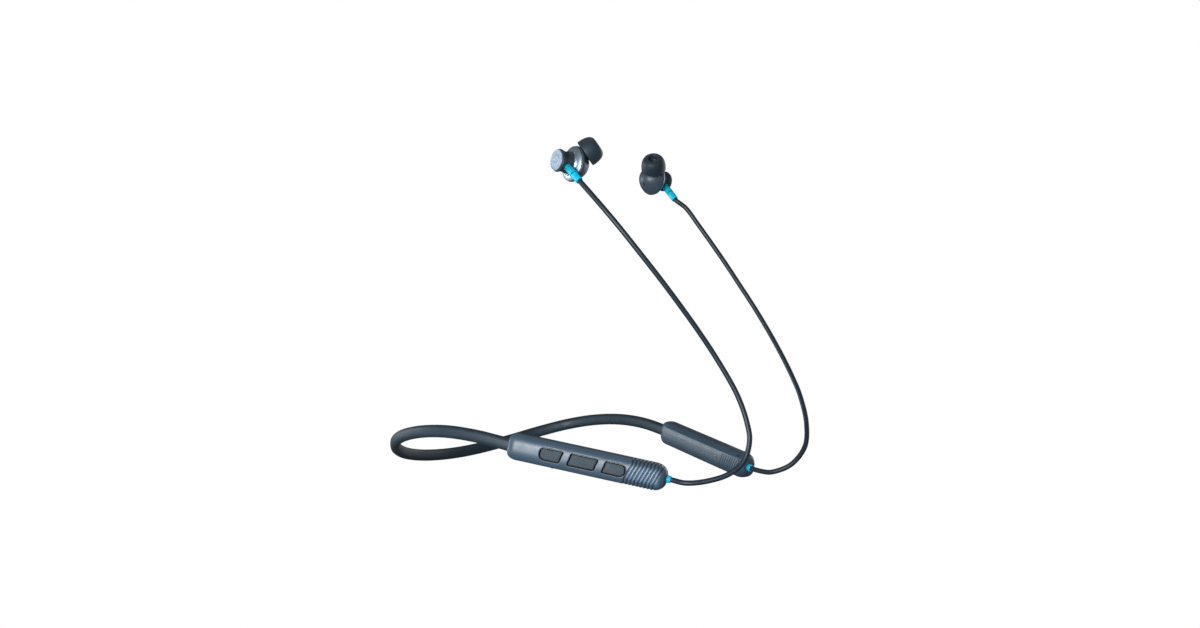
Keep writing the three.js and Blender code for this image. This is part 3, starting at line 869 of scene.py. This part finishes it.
def key_pockets(outer, keys):
    """How far the outer face drops round and under the keys, and the painted shade in the gap round each key.
    """
    flat = np.stack([outer[..., 0].ravel(), outer[..., 2].ravel()], axis=1)
    pocket = np.zeros(len(flat))
    dark = np.zeros(len(flat))
    for key in keys:
        middle = (key["from"] + key["to"]) / 2
        near = (np.abs(flat[:, 0] - middle) < 9) & (np.abs(flat[:, 1]) < 4) & (outer[..., 1].ravel() > 2)
        distance = np.full(len(flat), 9.0)
        distance[near] = signed_distance(flat[near], key_outline(key, 0))
        pocket += 1.4 * (1 - smoothstep(0.22, 0.38, distance))
        pocket += 0.09 * (1 - smoothstep(0.3, 0.75, distance))
        # Painted shade in the gap round the key.
        dark += 0.92 * (1 - smoothstep(0.3, 0.62, distance))
    shape = outer.shape[:2]
    return pocket.reshape(shape), dark.reshape(shape)


def shell_inside(xs, angles, slant_at, keyed):
    """The inner wall of a half shell, which leaves room for the parts inside."""
    inside = half_grid(xs, angles, slant_at)
    thick, height = pod_half_sizes(inside[..., 0])
    wall = 2.0 if keyed else 1.1
    inside[..., 1] = np.maximum(inside[..., 1] * (1 - np.minimum(wall / thick, 0.7)), 0.04)
    inside[..., 2] *= 1 - 1.05 / height
    inside[..., 0] = np.clip(inside[..., 0], 1.0, POD_LENGTH - 1.0)
    return inside


def port_angle(depth):
    """Section angle of a point of the pod's surface at this distance from the parting plane."""
    return np.arccos((depth / POD_HALF_THICKNESS) ** (POD_ROUNDNESS / 2))


def pod_shell(sign, half, materials, keys=()):
    """One half of a pod's casing with its ribs, key pockets, crease and parting edge."""
    side = "left" if sign > 0 else "right"
    keyed, inner = bool(keys), half == "inner"
    port, window = inner and sign < 0, inner and sign > 0
    port_edge = port_angle(abs(PORT["deep"])) if port else None
    slant_at = lambda at: shell_slant(at, keyed)
    xs = shell_columns(keys, port, window)
    angles = shell_angles(keys, inner, window, port_edge)
    outside = half_grid(xs, angles, slant_at)
    x, y, z = (outside[..., k] for k in range(3))
    depth, painted_shading = inner_relief(x, y, z, window) if inner else outer_relief(x, z)
    # The relief goes in towards the pod's axis.
    length = np.maximum(np.hypot(y, z), 1e-6)
    outside[..., 1] -= depth * y / length
    outside[..., 2] -= depth * z / length
    # The parting edge is eased, and stands a hair off the other half.
    ends = smoothstep(0, 1.5, x) * (1 - smoothstep(POD_LENGTH - 1.5, POD_LENGTH, x))
    outside[..., 2] -= 0.14 * np.exp(-(y / 0.16) ** 2) * ends * np.sign(z)
    outside[..., 1] += 0.04
    pocket, dark = key_pockets(outside, keys)
    outside[..., 1] -= pocket
    # The painted shade round the keys is added to the relief's painted shade and highlight.
    painted_shading = np.clip(painted_shading + dark, -1.5, 0.95)
    inside = shell_inside(xs, angles, slant_at, keyed)
    keep = np.ones((len(xs) - 1, len(angles) - 1), bool)
    if port:
        cell_x = (xs[:-1] + xs[1:]) / 2
        cell_a = (angles[:-1] + angles[1:]) / 2
        in_hole = (cell_x > PORT["from"])[:, None] & (cell_x < PORT["to"])[:, None]
        keep &= ~(in_hole & (cell_a < -port_edge)[None])
    if inner:
        outside[..., 1] *= -1
        inside[..., 1] *= -1
    name = f"{side}_pod_{half}"
    piece = closed_shell(f"{name}_casing", outside, inside, keep, pod_place(sign), materials["pod"], painted_shading)
    return stand_in(piece, f"{side}_arm", "pod", f"{name}_shell")


def on_face(sign, at, drop=0.0):
    """A placement for turned parts that stand out of a pod's face, at a distance from its rear."""
    to_row = pod_place(sign)

    def place(points):
        p = np.asarray(points, float)
        return to_row(np.stack([at + p[:, 1], p[:, 0], p[:, 2] - drop], axis=1))

    return place


def make_key(key, materials):
    """A domed rubber key with an eased rim; the middle one's small raised ring is made by make_key_mark."""
    place = pod_place(-1)
    outline = key_outline(key, -0.02)
    count = len(outline)
    middle_z = -KEY_DROP
    spine_from = key["from"] + KEY_HALF_HEIGHT
    spine_to = key["to"] - KEY_HALF_HEIGHT
    tangent = np.roll(outline, -1, axis=0) - np.roll(outline, 1, axis=0)
    normal = np.stack([tangent[:, 1], -tangent[:, 0]], axis=1)
    normal /= np.linalg.norm(normal, axis=1)[:, None]
    spine = np.stack([np.clip(outline[:, 0], spine_from, spine_to), np.full(count, middle_z)], axis=1)
    # Painted shade: darker down the key's sides and rim, and a little darker at the top's edge, standing for
    # shade in the gap round the key.
    rings, painted_shading = [], []
    body = [(0.0, -0.85), (0.0, -0.32)] + [
        (0.3 * (1 - math.cos(t)), -0.3 + 0.28 * math.sin(t)) for t in np.linspace(0.15, math.pi / 2, 7)
    ]
    for inset, height in body:
        ring = outline - normal * inset
        rings.append(np.stack([ring[:, 0], np.full(count, KEY_TOP + height), ring[:, 1]], axis=1))
        painted_shading.append(0.85 if height < -0.1 else 0.5)
    top = outline - normal * 0.3
    for share in (0.06, 0.15, 0.3, 0.5, 0.7, 0.88):
        ring = top + (spine - top) * share
        dome = KEY_TOP - 0.02 + 0.10 * (1 - (1 - share) ** 2)
        rings.append(np.stack([ring[:, 0], np.full(count, dome), ring[:, 1]], axis=1))
        painted_shading.append(0.25 if share < 0.1 else 0.0)
    points = np.concatenate(rings)
    faces = capped_faces(len(rings), count)
    name = key["name"]
    piece = mesh_object(f"{name}_key", place(points), faces, materials["key"], sharp_angle=50,
                        painted_shading=np.repeat(painted_shading, count))
    return stand_in(piece, f"{name}_key", "key", f"{name}_button")


def make_key_mark(materials):
    """The small raised ring in the middle of the multifunction key."""
    middle = (KEYS[1]["from"] + KEYS[1]["to"]) / 2
    ring = [
        (KEY_TOP + 0.04, 0.62), (KEY_TOP + 0.13, 0.66), (KEY_TOP + 0.13, 0.8), (KEY_TOP + 0.04, 0.84),
        (KEY_TOP + 0.04, 0.62),
    ]
    mark = turned("multifunction_key_mark", ring, on_face(-1, middle, KEY_DROP), materials["key"],
                  segments=40, radius=0.03)
    stand_in(mark, "multifunction_key", "key")


def make_port_cover(materials):
    """The rubber flap on the lower edge, cut from the pod's own surface, with a thumbnail lip."""
    place = pod_place(-1)
    xs = spaced([(PORT["from"] + 0.12, PORT["to"] - 0.12, 0.18)])
    angles = -np.linspace(port_angle(abs(PORT["deep"]) - 0.12), port_angle(0.16), 26)[::-1]
    outer = half_grid(xs, angles, lambda v: np.zeros_like(v))
    shape = (len(xs), len(angles))
    across = np.linspace(0, 2.7, len(angles))
    sides = (xs[:, None] - xs[0], xs[-1] - xs[:, None], across[None], across[None, ::-1])
    rim = np.minimum.reduce([np.broadcast_to(edge, shape) for edge in sides])
    outer[..., 2] += 0.16 * np.exp(-rim / 0.12)
    lip = smoothstep(xs[-1] - 1.3, xs[-1] - 0.9, xs)[:, None] * np.ones(len(angles))[None]
    outer[..., 2] -= 0.38 * lip
    inner = outer.copy()
    inner[..., 2] = -4.97
    outer[..., 1] *= -1
    inner[..., 1] *= -1
    keep = np.ones((len(xs) - 1, len(angles) - 1), bool)
    piece = closed_shell("port_cover_flap", outer, inner, keep, place, materials["key"])
    return stand_in(piece, "port_cover", "key", "usb_port_cover")


def make_collar(sign, materials):
    """The coloured collar round the cord at the pod's front end, with a groove round it."""
    side = "left" if sign > 0 else "right"
    end = POD_LENGTH
    profile = [
        (end - 5.5, 0), (end - 5.5, 1.4), (end - 0.9, 1.4), (end - 0.9, 1.66), (end + 0.75, 1.64),
        (end + 0.8, 1.45), (end + 0.95, 1.45), (end + 1.0, 1.56), (end + 1.5, 1.46), (end + 1.66, 1.32),
        (end + 1.66, 1.12), (end + 1.2, 1.1), (end + 1.1, 0),
    ]
    piece = turned(f"{side}_collar", profile, pod_place(sign), materials["accent"], segments=48, radius=0.12)
    return stand_in(piece, f"{side}_arm", "accent", f"{side}_cord_collar")


def make_led_lens(materials):
    """The round window in the battery pod's inner face."""
    front = -POD_HALF_THICKNESS
    profile = [
        (-2.95, 0), (-2.95, LED_RADIUS), (front - 0.02, LED_RADIUS), (front - 0.07, 0.85), (front - 0.1, 0),
    ]
    lens = turned("led_lens_dome", profile, on_face(1, LED_AT), materials["window"], segments=40, radius=0.08)
    return stand_in(lens, "left_arm", "window", "led_lens")


# ---------------------------------------------------------------- earbuds

def along_nozzle(points):
    """Local points made along X, set along the nozzle."""
    p = np.asarray(points, float)
    c, s = math.cos(NOZZLE_ANGLE), math.sin(NOZZLE_ANGLE)
    return np.stack([
        NOZZLE_ORIGIN + p[:, 0] * c - p[:, 2] * s, p[:, 1], p[:, 0] * s + p[:, 2] * c,
    ], axis=1)


def make_vent(side, place, materials):
    """A dark oval plate set in the front housing, beside the nozzle, whose black is painted shade standing
    for the air vent's opening.
    """
    turn = math.radians(-47 if side == "left" else -133)
    out = unit([0.87, 0.49 * math.cos(turn), 0.49 * math.sin(turn)])
    middle = np.array([5.88, 3.07 * math.cos(turn), 3.07 * math.sin(turn)])
    across = unit(np.cross(out, [1, 0, 0]))
    up = np.cross(out, across)
    rings = []
    for grow, height in ((0, -0.5), (0, 0.03), (-0.06, 0.08), (-0.14, 0.1), (-0.25, 0.1)):
        oval = superellipse(0.46 + grow, 0.95 + grow, 2.4, 28)
        rings.append([middle + out * height + across * a + up * b for a, b in oval])
    faces = capped_faces(len(rings), len(rings[0]))
    points = place(np.concatenate(rings))
    return mesh_object(f"{side}_vent", points, faces, materials["chip"], sharp_angle=40)


def make_barrel(side, place, materials):
    """The waisted barrel, the metal cap on its outer end and the bright ring at its inner end."""
    body = f"{side}_earbud"
    barrel = turned(f"{side}_barrel_body", [
        (-7.8, 3.7), (-7.82, 4.55), (-7.6, 4.8), (-7.15, 4.84), (-6.6, 4.62), (-5.9, 4.38), (-5.1, 4.28),
        (-4.3, 4.33), (-3.6, 4.5), (-3.0, 4.7), (-2.5, 4.8), (-2.5, 3.6), (-0.6, 3.6), (-0.6, 3),
        (-3.2, 3), (-3.2, 3.7), (-7.8, 3.7),
    ], place, materials["barrel"], segments=72, radius=0.25)
    stand_in(barrel, body, "barrel", f"{side}_barrel")

    cap = turned(f"{side}_cap_plate", [
        (-7.1, 0), (-7.1, 3.3), (-7.95, 3.3), (-7.95, 4.42), (-8.3, 4.48), (-8.54, 4.36), (-8.56, 4.08),
        (-8.46, 3.98), (-8.46, 1.8), (-8.53, 1.74), (-8.53, 1.5), (-8.46, 1.44), (-8.46, 0),
    ], place, materials["cap"], segments=96, radius=0.07)
    stand_in(cap, body, "metal", f"{side}_end_cap")

    ring = turned(f"{side}_ring_band", [
        (-2.35, 3.9), (-2.35, 4.95), (-2.2, 5.1), (-1.75, 5.35), (-1.65, 5.75), (-1.0, 7.0), (-0.75, 7.32),
        (-0.45, 7.38), (-0.45, 3.9), (-2.35, 3.9),
    ], place, materials["metal"], segments=96, radius=0.08)
    stand_in(ring, body, "metal", f"{side}_accent_ring")


def make_front(side, place, on_nozzle, materials):
    """The domed front housing with its spout, and the vent beside it."""
    body = f"{side}_earbud"
    dome = turned(f"{side}_front_dome", [
        (-0.35, 6.0), (-0.35, 7.3), (0, 7.58), (0.5, 7.6), (1, 7.42), (1.5, 7.15), (2, 6.85), (3, 6.2),
        (4, 5.42), (5, 4.42), (5.6, 3.6), (6.1, 2.7), (6.5, 1.7), (6.72, 0.8), (6.78, 0),
    ], place, materials["housing"], segments=96, radius=0.3)
    inner = turned("inner_dome", [
        (-0.35, 6.0), (1, 6), (2.5, 5.3), (4, 4.2), (5, 3.1), (5.7, 0),
    ], place, materials["housing"])
    spout = turned("spout", [
        (4.2, 1.7), (4.2, 2.4), (10.4, 2.4), (10.6, 2.58), (11.2, 2.58), (11.5, 2.35), (11.5, 1.7),
        (4.2, 1.7),
    ], on_nozzle, materials["housing"], segments=48)
    collar = turned("spout_root", [
        (5.6, 2.3), (5.6, 3.5), (6.4, 2.95), (7.4, 2.6), (7.6, 2.3), (5.6, 2.3),
    ], on_nozzle, materials["housing"], segments=48, radius=0.3)
    vent = make_vent(side, place, materials)
    for part in (dome, inner, spout, collar):
        facing_out(part)
    front = joined(f"{side}_front_body", dome, inner, spout, collar)
    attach(front, body)
    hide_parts(f"{side}_front_housing")
    stand_in(vent, body, "chip")


def make_tip(side, on_nozzle, materials):
    """The silicone ear tip, with its skirt open at the back."""
    tip = turned(f"{side}_tip_silicone", [
        (along + TIP_BASE, radius) for along, radius in [
            (6.25, 2.15), (6.5, 2.35), (6.62, 2.75), (6.55, 3.3), (6.25, 3.95), (5.75, 4.55), (5.0, 5.05),
            (4.0, 5.42), (3.0, 5.65), (1.8, 5.78), (0.8, 5.8), (0, 5.78), (-0.02, 5.45), (0.8, 5.4),
            (1.8, 5.3), (3.1, 5.0), (4.1, 4.4), (4.6, 3.6), (4.4, 3.4), (0.3, 3.4), (0.2, 2.8), (4.9, 2.75),
            (4.9, 2.15), (6.25, 2.15),
        ]
    ], on_nozzle, materials["tip"], segments=72, radius=0.25)
    stand_in(tip, f"{side}_tip", "tip", f"{side}_ear_tip")


def make_earbud(side, materials):
    """One earbud, from its metal cap to its ear tip."""
    place = earbud_place(side)
    on_nozzle = lambda points: place(along_nozzle(points))
    make_barrel(side, place, materials)
    make_front(side, place, on_nozzle, materials)
    make_tip(side, on_nozzle, materials)
    make_relief(side, materials)


def make_relief(side, materials):
    """The coloured sleeve, with a half-round slot across its middle and an eased mouth, and painted shade in
    the slot and near the barrel.
    """
    bud = EARBUDS[side]
    place = placement(relief_root(side), bud["exit"], bud["barrel"])
    along = spaced([(3.6, 4.6, 0.25), (4.6, 13.0, 0.11), (13.0, RELIEF_END, 0.05)])
    count = 72
    angles = 2 * np.pi * np.arange(count) / count
    radius = np.interp(along, [3.6, 6.0, 11.5, 13.0, 13.35, RELIEF_END], [1.66, 1.64, 1.6, 1.58, 1.5, 1.32])
    points = np.empty((len(along), count, 3))
    # Painted shade: darker towards the root, where the sleeve meets the barrel.
    painted_shading = np.repeat(0.45 * (1 - smoothstep(4.5, 9.5, along))[:, None], count, axis=1)
    for k, angle in enumerate(angles):
        facing = math.cos(angle - bud["slot_at"])
        slot = 0.55 * np.exp(-((along - 9.0) / 0.2) ** 4) * (1 if facing > 0.25 else 0)
        r = radius - slot
        # Painted shade in the slot.
        painted_shading[:, k] += 1.6 * slot
        points[:, k] = np.stack([along, r * math.cos(angle), r * math.sin(angle)], axis=1)
    mouth = [(RELIEF_END - 0.02, 1.16), (RELIEF_END - 0.5, 1.12)]
    rings = [points.reshape(-1, 3)]
    for x, r in mouth:
        rings.append(np.stack([np.full(count, x), r * np.cos(angles), r * np.sin(angles)], axis=1))
    faces = capped_faces(len(along) + len(mouth), count)
    painted_shading = np.concatenate([painted_shading.ravel(), np.zeros(2 * count)])
    sleeve = mesh_object(f"{side}_relief_sleeve", place(np.concatenate(rings)), faces, materials["accent"],
                         sharp_angle=40, painted_shading=np.clip(painted_shading, 0, 0.85))
    stand_in(sleeve, f"{side}_earbud", "accent", f"{side}_strain_relief")


# ---------------------------------------------------------------- stage

def area_light(name, location, target, size, power, colour=(1, 1, 1)):
    """A rectangular softbox that points at a target."""
    data = bpy.data.lights.new(name, "AREA")
    data.shape = "RECTANGLE"
    data.size, data.size_y = size
    data.energy = power
    data.color = colour
    light = bpy.data.objects.new(name, data)
    light.location = location
    direction = Vector(target) - Vector(location)
    light.rotation_mode = "QUATERNION"
    light.rotation_quaternion = direction.to_track_quat("-Z", "Y")
    bpy.context.scene.collection.objects.link(light)


def seen_by_camera(nodes, links, unseen, seen, output):
    """Shows one shader to the camera and another to everything that the object reflects."""
    path, mix = nodes.new("ShaderNodeLightPath"), nodes.new("ShaderNodeMixShader")
    links.new(path.outputs["Is Camera Ray"], mix.inputs["Fac"])
    links.new(unseen, mix.inputs[1])
    links.new(seen, mix.inputs[2])
    links.new(mix.outputs["Shader"], output.inputs["Surface"])


def make_world():
    """White behind the object, and a dim blue-grey room round it."""
    world = bpy.data.worlds.new("studio")
    bpy.context.scene.world = world
    world.use_nodes = True
    nodes, links = world.node_tree.nodes, world.node_tree.links
    room, backdrop = nodes["Background"], nodes.new("ShaderNodeBackground")
    room.inputs["Color"].default_value = (0.85, 0.93, 1, 1)
    room.inputs["Strength"].default_value = 0.1
    backdrop.inputs["Color"].default_value = (1, 1, 1, 1)
    backdrop.inputs["Strength"].default_value = 1.0
    seen_by_camera(nodes, links, room.outputs["Background"], backdrop.outputs["Background"],
                   nodes["World Output"])


def make_floor():
    """A plain floor below the object, white to the camera."""
    reach, depth = 6.0, -0.16
    corners = [(-reach, -reach), (reach, -reach), (reach, reach), (-reach, reach)]
    data = bpy.data.meshes.new("floor")
    data.from_pydata([(x, y, depth) for x, y in corners], [], [(0, 1, 2, 3)])
    floor = bpy.data.objects.new("floor", data)
    bpy.context.scene.collection.objects.link(floor)
    material, nodes, links, shader = new_material("floor_paper")
    shader.inputs["Base Color"].default_value = (0.2, 0.22, 0.25, 1)
    shader.inputs["Roughness"].default_value = 0.9
    shader.inputs["Specular IOR Level"].default_value = 0.1
    glow = add_node(nodes, "ShaderNodeEmission", Color=(1, 1, 1, 1), Strength=1.0)
    seen_by_camera(nodes, links, shader.outputs["BSDF"], glow.outputs["Emission"], nodes["Material Output"])
    data.materials.append(material)


def make_stage():
    """The view transform, the surroundings and the softboxes."""
    bpy.context.scene.view_settings.view_transform = "Standard"
    make_world()
    make_floor()
    middle, cool = (0, -0.09, 0.05), (0.92, 0.97, 1)
    area_light("key_light", (-0.93, -0.24, 0.08), middle, (0.55, 0.24), 8.5, (0.93, 0.97, 1))
    area_light("front_light", (-0.25, -0.95, 0.15), middle, (0.5, 0.5), 0.3, cool)
    area_light("rim_light", (-0.28, 0.85, 0.13), middle, (0.6, 0.4), 3.2, cool)
    area_light("far_light", (0.9, -0.25, 0.25), middle, (0.9, 0.7), 3.0, (0.94, 0.97, 1))
    area_light("top_light", (0.15, -0.1, 0.9), middle, (0.4, 0.4), 0.3)


# ---------------------------------------------------------------- assembly

make_camera()
materials = make_materials()
for side in EARBUDS:
    make_cord(side, materials["cord"])
for sign in (-1, 1):
    make_band(sign, materials)
pod_shell(-1, "outer", materials, KEYS)
pod_shell(-1, "inner", materials)
pod_shell(1, "outer", materials)
pod_shell(1, "inner", materials)
for key in KEYS:
    make_key(key, materials)
make_key_mark(materials)
make_port_cover(materials)
make_collar(-1, materials)
make_collar(1, materials)
make_led_lens(materials)
for side in EARBUDS:
    make_earbud(side, materials)

slots = {row["node"]: row["material_slot"] for row in frame["record"]["subparts"]}
for name, node in frame["nodes"].items():
    node.data.materials.clear()
    node.data.materials.append(materials[slots[name]])

make_stage()
